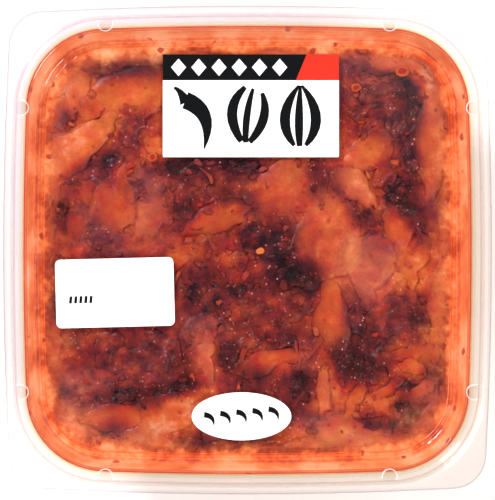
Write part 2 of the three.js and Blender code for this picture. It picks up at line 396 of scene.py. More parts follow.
TOP_RUFFLES = [
    (-32, 49, 21, 6, 8, 0.1, 0.3, 0.3), (-49, 35, 9, 5, 50, 0.24, 0.4, 0.3),
    (-41, 22, 17, 5, 30, 0.12, 0.2, 0.3), (-49.5, 10, 6, 2.4, 90, 0.06, 0, 0),
    (-17, 22.5, 11, 5, 0, 0.12, 0.2, 0.2), (-17, 11, 6, 6, 0, 0.14, 0.1, 0.1),
    (-4, 13, 9, 4, 10, 0.12, 0.1, 0.2), (-1, 22, 9, 4, 0, 0.1, 0.1, 0.2),
    (6, 3, 17, 10, -10, 0.12, 0.1, 0.1), (12, -6, 9, 5, 0, 0.04, 0.1, 0),
    (16.5, -7.5, 6, 4, 90, 0.03, 0.1, 0), (-13.5, -8, 10, 7, 0, 0.05, 0.1, 0),
    (-15, -13, 7, 3.4, 90, 0.07, 0, 0.1), (-1, -11, 10, 4, 0, 0.1, 0, 0.2),
    (-10, -16, 9, 6, 0, 0.16, 0.1, 0.2), (10, -25, 10, 4, 0, 0.12, 0.2, 0.2),
    (-4.5, -28, 9, 6, 80, 0.1, 0, 0.1), (28, 13, 23, 4, -52, 0.1, 0.1, 0.1),
    (40, 13.5, 8, 7, 0, 0.04, 0, 0), (41, 17.5, 6, 4, 0, 0.12, 0, 0.2), (45, 8, 15, 5, -70, 0.12, 0.1, 0.1),
    (51.5, 12, 9, 4, 90, 0.22, 0.4, 0.2), (45, 36, 15, 5, -80, 0.1, 0.1, 0.1),
    (44, 25, 11, 4, 90, 0.14, 0.2, 0.2), (41, 43, 5, 5, 0, 0.03, 0, 0), (34, 47.5, 9, 2, 0, 0.08, 0, 0),
    (29, -19, 11, 6, 90, 0.12, 0.3, 0.2), (25, -28, 7, 4.4, 90, 0.04, 0, 0),
    (33, -33, 9, 7, 0, 0.06, 0, 0.1), (27.5, -31, 6, 5, 0, 0.08, 0.1, 0.1),
    (50, -33, 7, 5, 30, 0.12, 0.1, 0.1), (42, -37, 8, 4, 0, 0.14, 0, 0.2),
    (36, -46, 17, 4, -8, 0.1, 0, 0.1), (42, -43, 5, 4, 0, 0.04, 0, 0), (14, -38, 9, 5, 90, 0.08, 0.1, 0.2),
    (44, -51, 9, 1.6, 30, 0.14, 0, 0), (-35, -39, 13, 4, 10, 0.12, 0.2, 0.2),
    (-27, -41, 6, 3, 0, 0.14, 0, 0.1), (-36, -48, 7, 4, 0, 0.12, 0.2, 0.1),
    (-20, -37, 12, 2.4, 10, 0.08, 0, 0), (-52, -13, 5, 3.4, 90, 0.12, 0.1, 0.1),
    (-51, -17, 5, 3, 0, 0.14, 0.1, 0.1), (-5, -52.5, 27, 3.4, 0, 0.16, 0, 0.1),
    (-52, 9, 6, 5, 60, 0.3, 0, 0.1), (3, -33, 8, 5, 20, 0.12, 0, 0.4),
]


# Below this height, over this depth, the juice turns to one tone and milkiness all round.
UNDER_LID, FADING = 38, 6
DEEP_TINGE = np.array((0.66, 0.25))
FAINT = 1e-3             # how little a piece counts before the even tone of the juice takes over


def tinge(places):
    """Tone and milkiness of the juice at each place in mm: it takes them from the pieces that lie near."""
    total, weights = np.zeros((len(places), 2)), np.full(len(places), FAINT / 1000)
    for x, y, long, wide, turn, tone, milk, _ in TOP_STEMS + TOP_LEAVES + TOP_RUFFLES:
        away = places[:, :2] - (x, y)
        c, s = math.cos(math.radians(turn)), math.sin(math.radians(turn))
        ahead, aside = away @ (c, s) / (long / 2 + 1), away @ (-s, c) / (wide / 2 + 1)
        weight = np.exp(-1.6 * (ahead ** 2 + aside ** 2)) / math.sqrt(long * wide)
        total += weight[:, None] * (tone, milk)
        weights += weight
    weights += FAINT
    total += FAINT * np.array((0.5, 0.2))
    deep = np.clip((UNDER_LID - places[:, 2:3]) / FADING, 0, 1)
    return total / weights[:, None] * (1 - deep) + DEEP_TINGE * deep


def noise(start, place, scale, detail=3.0, rough=0.5):
    return start.add("ShaderNodeTexNoise", None, {
        "Vector": place, "Scale": scale, "Detail": detail, "Roughness": rough,
    })


def dots(start, place, scale, wide, narrow, strength, blur=None):
    """Small round spots scattered over a surface, as strong as told in their middle."""
    cells = start.add("ShaderNodeTexVoronoi", None, {"Vector": place, "Scale": scale, "Randomness": 1.0})
    return ramp(start, cells + blur if blur else cells, wide, narrow, 0.0, strength)


def mix_colour(start, factor, one, other):
    return start.add("ShaderNodeMix", {"data_type": "RGBA"}, {0: factor, 6: one, 7: other}, 2)


def greatest(start, first, *others):
    for other in others:
        first = start.math("MAXIMUM", first, other)
    return first


FIBRES = 0.15            # how much lighter and darker the fibres are
# The colours of the chili specks, and of the painted highlights on wet droplets.
BLOOD_RED, GLINT = tint(140, 26, 28), tint(250, 190, 185)


def kimchi_finish(name, spread=0.5, mottle=0.9, wrinkle=0.3, glints=0.0, clear=0.28, soft=1.1, dye=None):
    """Wet kimchi: its tone wanders and runs along the fibres, and is lost in the juice as it dips below it.

    spread and mottle say how much the tone wanders over cm and over mm, wrinkle is the relief in mm, glints
    how strong the painted highlights are, pale dots in the colour for wet droplets catching the light, clear
    how much still shows through 1 mm of juice, soft how hazy the outline is, and dye the colour of a chili's
    skin.
    """
    material, start = new_finish(name)
    place = start.add("ShaderNodeTexCoord", out="Object")
    cloud = noise(start, place, 95)
    blotch = noise(start, place, 300, 3.0, 0.5)
    fibre = noise(start, value_of(start, "along", "Vector"), 900, 2.0) * FIBRES
    fine = noise(start, place, 1300, 3.0, 0.6)
    veil = noise(start, place, 140, 2.0)
    patchy = (cloud - 0.5) * spread + (blotch - 0.5) * mottle + (fine - 0.5) * mottle * 0.35
    veiled = greatest(start, veil - 0.45, 0.0) * 4 + (blotch - 0.5) * 3
    hidden = value_of(start, "under") + value_of(start, "edge") * soft + veiled
    shown = start.math("POWER", clear, greatest(start, hidden, 0.0))
    tone = value_of(start, "tone") + fibre - FIBRES / 2
    level = tone * shown + value_of(start, "tinge") * (1 - shown) + patchy
    milk = value_of(start, "milk") * shown + value_of(start, "haze") * (1 - shown) + (veil - 0.5) * 0.7
    clean = start.add("ShaderNodeValToRGB", {"stops": TONES}, {"Fac": level})
    milky = start.add("ShaderNodeValToRGB", {"stops": MILKY}, {"Fac": level})
    colour = mix_colour(start, ramp(start, milk, 0.05, 1.05), clean, milky)
    golden = (noise(start, place, 210, 3.0) - 0.5) * 0.045 + 0.501
    colour = start.add("ShaderNodeHueSaturation", None, {"Hue": golden, "Color": colour})
    if dye:
        dyed = ramp(start, value_of(start, "tone"), 0.7, 0.8, 0.6, 0.0)
        colour = mix_colour(start, dyed, colour, tint(*dye))
    colour = mix_colour(start, dots(start, place, 260, 0.18, 0.08, 0.6), colour, BLOOD_RED)
    # Painted highlights: pale dots in the colour where wet droplets would catch the light.
    if glints:
        lit = dots(start, place, 700, 0.22, 0.12, glints) * ramp(start, blotch, 0.5, 0.62)
        colour = mix_colour(start, lit, colour, GLINT)
    height = blotch + fine * 0.35 + fibre * 2
    relief = start.add("ShaderNodeBump", None, {"Strength": 0.5, "Distance": wrinkle * MM, "Height": height})
    skin = start.add("ShaderNodeBsdfPrincipled", None, {
        "Base Color": colour, "Roughness": 0.18 + fine * 0.25, "Normal": relief,
        "IOR": 1.38, "Specular IOR Level": 0.2,
        "Subsurface Weight": 0.15, "Subsurface Radius": (1.0, 0.3, 0.12), "Subsurface Scale": 1.5 * MM,
    })
    start.add("ShaderNodeOutputMaterial", None, {"Surface": skin})
    return material


# Pieces that touch the plastic stop at slightly different depths, so that they lie over one another there.
sinks = itertools.cycle([0.02 * i for i in (3, 11, 7, 15, 1, 9, 5, 13, 2, 10, 6, 14, 4, 12, 8)])
ABOVE_LID = 50           # a height in mm whose nearest plastic is the lid


def lay(shape, size, tone, milk, place, sink=None):
    """Copies a unit shape at a size in mm, with its tone and milkiness, and puts it in its place."""
    mesh = shape.data.copy()
    count = len(mesh.vertices)
    along = np.empty(count * 3, np.float32)
    mesh.vertices.foreach_get("co", along)
    along = along.reshape(-1, 3)
    note(mesh, "edge", np.clip(np.hypot(along[:, 0], along[:, 1]) / 0.5, 0, 1) ** 3)
    along = along * size * MM * (0.25, 1, 1) + place.translation[:]
    mesh.transform(Matrix.Diagonal((*(v * MM for v in size), 1)))
    mesh.attributes.new("along", "FLOAT_VECTOR", "POINT").data.foreach_set("vector", along.ravel())
    note(mesh, "tone", np.full(count, tone))
    note(mesh, "milk", np.full(count, milk))
    note(mesh, "sink", np.full(count, next(sinks) if sink is None else sink))
    mesh.transform(place)
    piece = bpy.data.objects.new(shape.name, mesh)
    bpy.context.scene.collection.objects.link(piece)
    return piece


def against(at, turn, deep=0.0, tip=0.0):
    """A place against the plastic nearest to a point in mm: turned in its plane, tipped, and set back."""
    spot, outward = walls.find_nearest(Vector(at) * MM)[:2]
    across = Vector((1, 0, 0)) if abs(outward.z) > 0.7 else Vector((0, 0, 1)).cross(outward).normalized()
    frame_of = Matrix((across, outward.cross(across), outward)).transposed().to_4x4()
    return (
        Matrix.Translation(spot - outward * deep * MM) @ frame_of
        @ Matrix.Rotation(math.radians(turn), 4, "Z") @ Matrix.Rotation(math.radians(tip), 4, "Y")
    )


def clouds(name, size, kind="GRAYSCALE"):
    texture = bpy.data.textures.new(name, "CLOUDS")
    texture.noise_scale = size * MM
    texture.cloud_type = kind
    return texture


drift, jostle, dents = clouds("drift", 9.0, "COLOR"), clouds("jostle", 2.6, "COLOR"), clouds("dents", 1.4)
SQUEEZE = 0.4            # how gently pieces flatten as they come up against the plastic


def press_in(mesh):
    """Presses a mesh into the tub: what would stick out is flattened against the plastic, at its depth."""
    depths, sinking = [], mesh.attributes["sink"].data
    for vertex, sink in zip(mesh.vertices, sinking):
        spot, outward, _, away = walls.find_nearest(vertex.co)
        inside = (spot - vertex.co).dot(outward) > 0.93 * away
        if away > 0.001 * MM:
            outward = (spot - vertex.co) / away if inside else (vertex.co - spot) / away
        reach = (away if inside else -away) / MM / SQUEEZE
        depth = 0.02 + sink.value + SQUEEZE * (reach if reach > 30 else math.log1p(math.exp(reach)))
        vertex.co = spot - outward * depth * MM
        depths.append(depth)
    note(mesh, "under", depths)


def join(pieces, name):
    only(pieces[0])
    for piece in pieces[1:]:
        piece.select_set(True)
    if len(pieces) > 1:
        bpy.ops.object.join()
    pieces[0].name = name
    return pieces[0]


def serve(piece):
    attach(piece, "root")
    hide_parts("kimchi")


def gather(pieces, name, material, uneven=(5.0, 2.6, 0.8)):
    """Joins pieces of one kind, warps them, presses them into the tub and notes how deep each point lies."""
    whole = join(pieces, name)
    everywhere = {"direction": "RGB_TO_XYZ", "mid_level": 0.5}
    finish(
        whole,
        ("DISPLACE", {"texture": drift, "strength": uneven[0] * MM, **everywhere}),
        ("DISPLACE", {"texture": jostle, "strength": uneven[1] * MM, **everywhere}),
        ("DISPLACE", {"texture": dents, "strength": uneven[2] * MM, "mid_level": 0.5}),
    )
    mesh = whole.data
    press_in(mesh)
    places = np.array([v.co[:] for v in mesh.vertices]) / MM
    tone, haze = tinge(places).T
    note(mesh, "tinge", tone)
    note(mesh, "haze", haze)
    bpy.ops.object.shade_smooth()
    mesh.materials.append(material)
    serve(whole)


# The core: the middle of the heap, a solid mass of cut leaf that takes the place of the imported kimchi. It is
# set back a little from the plastic, with the relief of what is pressed into it, and everything that shows
# against the plastic lies round it.
CORE_WALL = [(46.7 + i * 1.03, 4.0 + i * 3.7) for i in range(10)]
CORE = [(40.0, 2.2), (45.0, 1.6), (46.0, 2.4), *CORE_WALL, (54.0, 38.7), (51.5, 39.4)]

core = sweep_square("kimchi_core", CORE, side_steps=22, corner_steps=10)
for level, near in ((2.2, 40.3), (39.4, 51.8)):
    pick(core, lambda at: abs(at.z - level) < 0.02 and half_of(at) < near, "EDGE")
    bpy.ops.mesh.fill_grid(span=32)
face_outwards()
bpy.ops.mesh.subdivide(number_cuts=1)
finish(core, ("DISPLACE", {"texture": clouds("packing", 6.0), "strength": -1.5 * MM, "mid_level": 0.45}))
for name, value in (("tone", 0.62), ("milk", 0.1), ("sink", 0.3), ("edge", 0.0)):
    note(core.data, name, [value] * len(core.data.vertices))
packed = kimchi_finish("packed_leaf", mottle=0.8, wrinkle=0.25, glints=0.5)
gather([core], "kimchi_core", packed, (0.5, 0.8, 0.9))


# Cut ribs of the cabbage: plump, smooth, orange with juice, and pale where they touch the lid. Each is a
# rounded chunk, thinner at one end. They lie under the lid as listed, and against the walls at random.
STEM_THICK, STEM_AT_WALL = 4.4, 5
STEM_DEEP = 1.5          # how far the middle of a stem lies below the lid, so that only part of it touches


def unit_lump(name, cuts, ball, narrow, thin, *modifiers):
    """A rounded chunk one unit long, wide and thick, narrower and thinner at one end."""
    lump = begin(name, bpy.ops.mesh.primitive_cube_add, size=1)
    bpy.ops.mesh.subdivide(number_cuts=cuts)
    bpy.ops.transform.tosphere(value=ball)
    pick(lump, lambda at: at.x > 150)
    bpy.ops.transform.resize(value=(1, narrow, thin))
    finish(lump, *modifiers)
    return lump


SMOOTHER = ("SUBSURF", {"levels": 1, "render_levels": 1})
rng = random.Random(7)
stem_shapes = [
    unit_lump("plump_rib", 3, 0.95, 0.75, 0.8, SMOOTHER),
    unit_lump("flat_rib", 3, 0.8, 0.55, 0.8, SMOOTHER),
]
stems = []
for x, y, long, wide, turn, tone, milk, deep in TOP_STEMS:
    thick = min(STEM_THICK, wide * 0.8)
    back = deep + STEM_DEEP * thick / STEM_THICK
    place = against((x, y, ABOVE_LID), turn + rng.choice((0, 180)), back, rng.uniform(-4, 4))
    stems.append(lay(rng.choice(stem_shapes), (long, wide, thick), tone, milk, place))


def round_the_wall(count):
    """Places scattered evenly over the four walls, as points in mm outside them."""
    for i in range(count):
        angle = 2 * math.pi * (i + rng.random()) / count
        yield 75 * math.cos(angle), 75 * math.sin(angle), rng.uniform(1, UNDER_LID)


def under_the_floor(count):
    for i in range(count):
        yield rng.uniform(-44, 44), rng.uniform(-44, 44), -9


def at_walls(on_walls, on_floor, lengths, widths, deep):
    """Lengths, widths and places of pieces that lie at random against the walls and the floor."""
    for at in [*round_the_wall(on_walls), *under_the_floor(on_floor)]:
        long, wide = rng.uniform(*lengths), rng.uniform(*widths)
        yield long, wide, against(at, rng.uniform(0, 180), rng.uniform(*deep), rng.uniform(-8, 8))


for long, wide, place in at_walls(110, 36, (9, 22), (5, 11), (1.2, 2.2)):
    shape, tone = rng.choice(stem_shapes), rng.uniform(0.58, 1.0)
    stems.append(lay(shape, (long, wide, STEM_AT_WALL), tone, rng.uniform(0, 0.6), place))
gather(stems, "rib_pieces", kimchi_finish("rib", mottle=0.5, wrinkle=0.15, soft=1.8))


# Leaf: limp red sheets of salted cabbage, crumpled and folded between the ribs. They are thin, so each is
# a sheet given a thickness. They lie as listed under the lid, and at random against the walls and the floor.
def unit_leaf(name, folds, ripple):
    """A crumpled leaf one unit long and wide, thin for its size."""
    leaf = begin(name, bpy.ops.mesh.primitive_grid_add, x_subdivisions=11, y_subdivisions=8, size=1)
    fold = bpy.data.textures.new(name + "_folds", "WOOD")
    fold.wood_type = "BANDNOISE"
    fold.noise_scale = folds
    fold.turbulence = 9
    crumple = bpy.data.textures.new(name + "_crumple", "CLOUDS")
    crumple.noise_scale = ripple
    finish(
        leaf,
        ("CAST", {"cast_type": "CYLINDER", "use_z": False, "factor": 0.55, "size": 0.5}),
        ("DISPLACE", {"texture": fold, "strength": 0.5, "direction": "Z"}),
        ("DISPLACE", {"texture": crumple, "strength": 0.9, "direction": "Z"}),
        ("SOLIDIFY", {"thickness": 0.05, "offset": 0}),
        SMOOTHER,
    )
    return leaf


LEAF_RISE = 3.2          # how high a leaf's folds stand
leaf_shapes = [unit_leaf("broad_leaf", 0.45, 0.5), unit_leaf("folded_leaf", 0.25, 0.35)]
leaves = []
for x, y, long, wide, turn, tone, milk, deep in TOP_LEAVES:
    place = against((x, y, ABOVE_LID), turn, deep + 0.3, rng.uniform(-6, 6))
    leaves.append(lay(rng.choice(leaf_shapes), (long, wide, LEAF_RISE), tone, milk, place))
gather(leaves, "leaf_under_lid", kimchi_finish("red_leaf", mottle=0.8, wrinkle=0.25, glints=0.4))

leaves = []
for long, wide, place in at_walls(86, 24, (12, 24), (8, 15), (0.8, 2.0)):
    tone, shape = rng.uniform(0.15, 0.6), rng.choice(leaf_shapes)
    leaves.append(lay(shape, (long, wide, LEAF_RISE), tone, rng.uniform(0, 0.5), place))
gather(leaves, "leaf_at_walls", bpy.data.materials["red_leaf"])


# Dark ruffled leaf ends: the green outer edge of the leaf, nearly black in the red juice. They are small,
# thin and finely frilled, with juice caught in them, and lie like the leaf but flatter.
RUFFLE_RISE = 2.4
ruffle_shapes = [unit_leaf("frill", 0.16, 0.3), unit_leaf("torn_frill", 0.12, 0.22)]
ruffles = []
for x, y, long, wide, turn, tone, milk, deep in TOP_RUFFLES:
    place = against((x, y, ABOVE_LID), turn, deep + 0.5, rng.uniform(-5, 5))
    ruffles.append(lay(rng.choice(ruffle_shapes), (long, wide, RUFFLE_RISE), tone + 0.04, milk, place))
for long, wide, place in at_walls(44, 10, (7, 16), (3, 7), (0.3, 0.9)):
    tone, shape = rng.uniform(0.06, 0.22), rng.choice(ruffle_shapes)
    ruffles.append(lay(shape, (long, wide, RUFFLE_RISE), tone, rng.uniform(0, 0.3), place))
gather(ruffles, "dark_frills", kimchi_finish("dark_frill", spread=0.2, wrinkle=0.5, glints=0.8))


# Small things: shreds of radish and scallion, minced garlic and ginger, chili flakes and seeds. They lie all
# through the heap, strewn evenly just under the lid and against the walls and floor. Each has few faces,
# because there are hundreds of them.
def unit_flake(name):
    """A curled six-sided chip of dried chili."""
    flake = begin(name, bpy.ops.mesh.primitive_circle_add, vertices=6, radius=0.5, fill_type="TRIFAN")
    pick(flake, lambda at: at.x > 150)
    bpy.ops.transform.translate(value=(0.1, 0, 0.25))
    bpy.ops.mesh.select_all(action="SELECT")
    bpy.ops.mesh.extrude_region_move(TRANSFORM_OT_translate={"value": (0, 0, 0.3)})
    face_outwards()
    finish(flake)
    return flake


def strewn(count, deepest):
    """Places for small things: most under the lid, the rest on the walls and the floor, turned at random."""
    for i in range(count):
        if i % 5 < 3:
            at = rng.uniform(-55, 55), rng.uniform(-55, 55), ABOVE_LID
        elif i % 10 == 9:
            at = next(under_the_floor(1))
        else:
            at = next(round_the_wall(1))
        yield against(at, rng.uniform(0, 360), rng.uniform(0.05, deepest), rng.uniform(-20, 20))


# kind: shape, how many, length, width to length, thickness to length, tone, milk, how deep at most
SMALL_THINGS = {
    "shreds": (
        unit_lump("shred", 2, 0.6, 0.6, 0.6), 50, (4, 10), (0.14, 0.26), 0.14, (0.35, 0.7), (0, 0.5), 1.5,
    ),
    "minced_bits": (
        unit_lump("bit", 1, 0.8, 0.7, 0.7), 460, (0.8, 2.6), (0.5, 0.9), 0.5, (0.3, 0.85), (0, 0.6), 1.3,
    ),
    "chili_flakes": (
        unit_flake("flake"), 520, (0.9, 2.6), (0.6, 1.0), 0.3, (0.34, 0.5), (0, 0), 0.7,
    ),
    "chili_seeds": (
        unit_lump("seed", 1, 1.0, 0.5, 0.5), 50, (1.4, 2.0), (0.7, 0.85), 0.4, (0.8, 0.95), (0, 0.2), 0.4,
    ),
}
for name, (shape, count, lengths, widths, thick, tones, milks, deepest) in SMALL_THINGS.items():
    things = []
    for place in strewn(count, deepest):
        long = rng.uniform(*lengths)
        size = (long, long * rng.uniform(*widths), long * thick)
        things.append(lay(shape, size, rng.uniform(*tones), rng.uniform(*milks), place))
    speck = kimchi_finish(name.rstrip("s"), mottle=0.3, spread=0.2, clear=0.45, soft=0.6)
    gather(things, name, speck, (3.0, 1.2, 0.2))
    bpy.data.objects.remove(shape)


# A few larger bits of fresh red chili: slices, cut across so that they show a ring of skin round a darker
# middle, and chips. They are laid as listed, and so close against the lid that the juice leaves them clear.
CHILI_SLICES = [(-25.7, 24.8, 3.0), (41.0, 52.0, 3.2), (41.3, 47.6, 3.8), (29.0, 43.5, 2.6)]
CHILI_CHIPS = [
    (-36.5, 30.5, 2.0, 0.30), (3.3, -0.3, 2.4, 0.86), (47.5, 41.0, 1.5, 0.4), (34.0, -22.5, 2.0, 0.5),
    (-4.0, 10.0, 1.4, 0.46), (10.0, 3.0, 1.3, 0.44), (-43.0, -35.0, 1.6, 0.6), (-48.5, 33.0, 1.5, 0.3),
    (43.0, 31.0, 1.2, 0.42), (6.0, -24.0, 1.4, 0.5), (-50.0, 20.0, 1.3, 0.3), (-21.0, -26.5, 1.5, 0.5),
    (-31.8, 22.8, 2.8, 0.6), (-31.4, 20.9, 2.2, 0.6), (-12.5, 12.0, 1.6, 0.5), (-8.5, -0.5, 1.3, 0.5),
]
SHOW_THROUGH = -0.07     # how deep they stop in mm, less than 0: nearer the lid than the other pieces get
SLICE_TURN = 20

ring_shape = begin(
    "chili_ring", bpy.ops.mesh.primitive_torus_add,
    major_segments=20, minor_segments=8, major_radius=0.36, minor_radius=0.14,
)
finish(ring_shape)
chip_shape = begin("chili_chip", bpy.ops.mesh.primitive_uv_sphere_add, segments=12, ring_count=7, radius=0.5)
bpy.ops.transform.resize(value=(1, 0.7, 1))
finish(chip_shape)
slices = []
for x, y, across in CHILI_SLICES:
    place = against((x, y, ABOVE_LID), SLICE_TURN, -0.3)
    slices.append(lay(ring_shape, (across, across * 0.8, 2.5), 0.76, 0.0, place, SHOW_THROUGH))
    slices.append(lay(chip_shape, (across * 0.8, across * 0.9, 0.8), 0.5, 0.0, place, SHOW_THROUGH))
for x, y, across, tone in CHILI_CHIPS:
    place = against((x, y, ABOVE_LID), SLICE_TURN, 0.1)
    slices.append(lay(chip_shape, (across, across, across * 0.7), tone, 0.0, place, SHOW_THROUGH))
fresh_chili = kimchi_finish("chili", 0.1, 0.15, clear=0.9, soft=0.0, dye=(158, 30, 30))
gather(slices, "chili_slices", fresh_chili, (1.0, 0.9, 0.4))
bpy.data.objects.remove(ring_shape)
bpy.data.objects.remove(chip_shape)


# The juice itself: red and a little cloudy. It fills the tub, and shows as a film over the pieces: thin in
# the middle, thicker in patches and towards the walls, and settled round the foot. It stands paler in the
# groove and the gap under the lid, where nothing else fits, partly as a painted highlight along them, with
# bubbles shown as painted highlight dots, chili specks and a dark top line.
material, start = new_finish("juice")
place = start.add("ShaderNodeTexCoord", out="Object")
patch = noise(start, place, 110)
fine = noise(start, place, 600, 3.0, 0.6)
east = start.add("ShaderNodeSeparateXYZ", None, {0: place})
north, height = east.output("Y"), east.output("Z")
out_from_middle = (east / (54 * MM)) ** 6 + (north / (54 * MM)) ** 6

in_gap = ramp(start, height, 40.3 * MM, 40.8 * MM)
groove = ramp(start, height, 38.5 * MM, 39.2 * MM) * ramp(start, height, 40.04 * MM, 39.98 * MM)
surface_line = ramp(start, height, 43.9 * MM, 44.2 * MM)
on_top = ramp(start, height, 37 * MM, 39.5 * MM, 0.25)
near_wall = ramp(start, out_from_middle + (patch - 0.5) * 1.2, 0.45, 1.05)
ragged = out_from_middle + (patch - 0.5) * 0.8 + (fine - 0.5) * 0.18
at_edge = greatest(start, near_wall * (fine * 0.9 - 0.05), ramp(start, ragged, 0.64, 1.08, 0.0, 0.82))
settled = ramp(start, height, 3.2 * MM, 1.4 * MM, 0.0, 0.85) * ramp(start, out_from_middle, 0.1, 0.18, 0.45)
film = greatest(start, ramp(start, patch, 0.4, 0.8, 0.0, 0.15), at_edge * on_top, settled)

# How thick the juice lies, and a painted highlight: the gap and the groove are shifted paler.
thickness_and_highlight = (patch - 0.5) * 1.3 + (fine - 0.5) * (0.7 - in_gap * 0.5) + in_gap * 0.18 + groove * 0.06 + 0.38
juice_tone = start.add("ShaderNodeValToRGB", {"stops": colour_of([
    (0.25, (206, 78, 38)), (0.42, (240, 120, 64)), (0.58, (250, 148, 92)), (0.75, (252, 178, 132)),
])}, {"Fac": thickness_and_highlight - surface_line * 0.3})
juice_tone = mix_colour(start, surface_line * 0.8, juice_tone, tint(204, 84, 24))
# Painted highlights: pale dots on lit bubbles, laid into the film's colour.
bubble_glint = dots(start, place, 820, 0.20, 0.12, 0.55) * ramp(start, fine + patch, 0.98, 1.12)
fleck = dots(start, place, 180, 0.34, 0.30, 0.85, fine * 0.3) * ramp(start, patch, 0.5, 0.53)
juice_tone = mix_colour(start, fleck, juice_tone, tint(172, 36, 28))
pale = greatest(start, near_wall, in_gap, settled, groove)
juice_tone = mix_colour(start, pale, tint(140, 46, 44), juice_tone)
wet = start.add("ShaderNodeBsdfPrincipled", None, {
    "Base Color": mix_colour(start, bubble_glint, juice_tone, tint(235, 165, 155)),
    "Alpha": greatest(start, film, bubble_glint, in_gap * 0.94 + groove * 0.93),
    "Roughness": 0.12, "IOR": 1.36, "Specular IOR Level": 0.2,
})
start.add("ShaderNodeOutputMaterial", None, {"Surface": wet})
room.data.materials.append(material)
serve(room)
for shape in [press] + stem_shapes + leaf_shapes + ruffle_shapes:
    bpy.data.objects.remove(shape)


# The lid: thermoformed clear like the tub. Its middle is pressed down onto the kimchi, a groove and a wall
# run round it, a ledge with eight lugs rests on the rim bead, and a flat square flange sticks out.
LID_WALL = 0.5 * MM
LID_TOP = [
    (54.6, 40.5), (55.1, 39.7), (56.1, 39.7), (57.9, 44.3), (58.2, 44.8), (58.7, 45.1), (60.5, 45.1),
    (60.9, 46.0), (62.8, 46.0), (63.2, 44.8),
]
FLANGE_EDGE, FLANGE_FOOT = 64.1, 44.8
FLANGE = [(FLANGE_EDGE, FLANGE_FOOT), (64.5, FLANGE_FOOT)]
FLANGE_REACH = 0.9921    # sharper corners than the rim has

flange = sweep_square("flange", FLANGE, FLANGE_REACH)
finish(flange)
lid = sweep_square("clear_lid", LID_TOP)
finish(lid)
flange.select_set(True)
bpy.ops.object.join()
bpy.ops.object.mode_set(mode="EDIT")
pick(lid, lambda at: (
    at.z < FLANGE_FOOT + 0.01 and half_of(at) > 63 and half_of(at, FLANGE_REACH) < FLANGE_EDGE + 0.1
), "EDGE")
bpy.ops.mesh.bridge_edge_loops()
pick(lid, lambda at: abs(at.z - 40.5) < 0.01, "EDGE")
bpy.ops.mesh.edge_face_add()
face_outwards()
finish(
    lid,
    ("BEVEL", {"width": 0.45 * MM, "segments": 4, "limit_method": "ANGLE", "angle_limit": math.radians(12)}),
    ("SOLIDIFY", {"thickness": LID_WALL, "offset": -1, "use_even_offset": True}),
)
bpy.ops.object.shade_smooth_by_angle(angle=math.radians(50))
# Painted shade: the flange's outermost edge is darkened into a thin grey outline.
note(lid.data, "shade", [
    min(max((half_of(v.co / MM, FLANGE_REACH) - FLANGE_EDGE) / 0.3, 0), 1) for v in lid.data.vertices
])
lid.data.materials.append(clear_plastic("lid_plastic", 0.04))
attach(lid, "root")
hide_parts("lid")

# The lugs that hold the next tub stacked on top: flat tongues with a round end, pressed into the ledge.
LUG_ACROSS = 4.2
LUG_ALONG_SIDE = 37.5
LUG_END = 57.6 + LUG_ACROSS / 2
LUG_ROOT = 60.7
LUG_FOOT = 44.9
LUG_HIGH = 0.75

lug_half = LUG_ACROSS / 2 * MM
lug = begin("lug", bpy.ops.mesh.primitive_circle_add, vertices=24, radius=lug_half, fill_type="NGON")
bpy.ops.transform.translate(value=(LUG_END * MM, LUG_ALONG_SIDE * MM, LUG_FOOT * MM))
bpy.ops.mesh.bisect(plane_co=(LUG_END * MM, 0, 0), plane_no=(1, 0, 0), clear_outer=True)
pick(lug, lambda at: at.x > LUG_END - 0.01, "EDGE")
bpy.ops.mesh.extrude_edges_move(TRANSFORM_OT_translate={"value": ((LUG_ROOT - LUG_END) * MM, 0, 0)})
bpy.ops.mesh.select_mode(type="FACE")
bpy.ops.mesh.select_all(action="SELECT")
bpy.ops.mesh.extrude_region_move(TRANSFORM_OT_translate={"value": (0, 0, LUG_HIGH * MM)})
pick(lug, lambda at: at.z > LUG_FOOT + LUG_HIGH - 0.01)
bpy.ops.mesh.bevel(offset=0.25 * MM, segments=3, affect="EDGES")
face_outwards()
lug.data.materials.append(lid.data.materials[0])
# The lugs' sides get a milky white: a painted highlight for the light their edges catch.
lug.data.materials.append(clear_plastic("lug_rim_plastic", 0.06, 0.55))
lug.active_material_index = 1
pick(lug, lambda at: LUG_FOOT + 0.01 < at.z < LUG_FOOT + LUG_HIGH - 0.01 and at.x < LUG_ROOT - 0.2)
bpy.ops.object.material_slot_assign()
finish(lug)
bpy.ops.object.shade_smooth_by_angle(angle=math.radians(50))


def copy_to(piece, place):
    """A copy of a piece with its own mesh, moved and turned."""
    only(piece)
    bpy.ops.object.duplicate()
    copy = bpy.context.object
    copy.matrix_world = place
    bpy.ops.object.transform_apply()
    return copy


lugs = join([
    copy_to(lug, Matrix.Rotation(side * math.pi / 2, 4, "Z") @ Matrix.Translation((0, along, 0)))
    for side in range(4) for along in (0, -2 * LUG_ALONG_SIDE * MM)
], "stacking_lugs")
bpy.data.objects.remove(lug)
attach(lugs, "root")
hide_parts("lid")


# The labels: three paper stickers on the lid, each a thin plate with rounded corners. Their printing is plain
# fields of colour and simple pictures of what kimchi is made of: a chili, half a cabbage and garlic.
LABEL_FOOT = 40.52
LABEL_THICK = 0.22
INK_FOOT = LABEL_FOOT + LABEL_THICK
INK_THICK = 0.03
PAPER, BLACK, RED = (253, 253, 253), (12, 14, 16), (205, 48, 34)


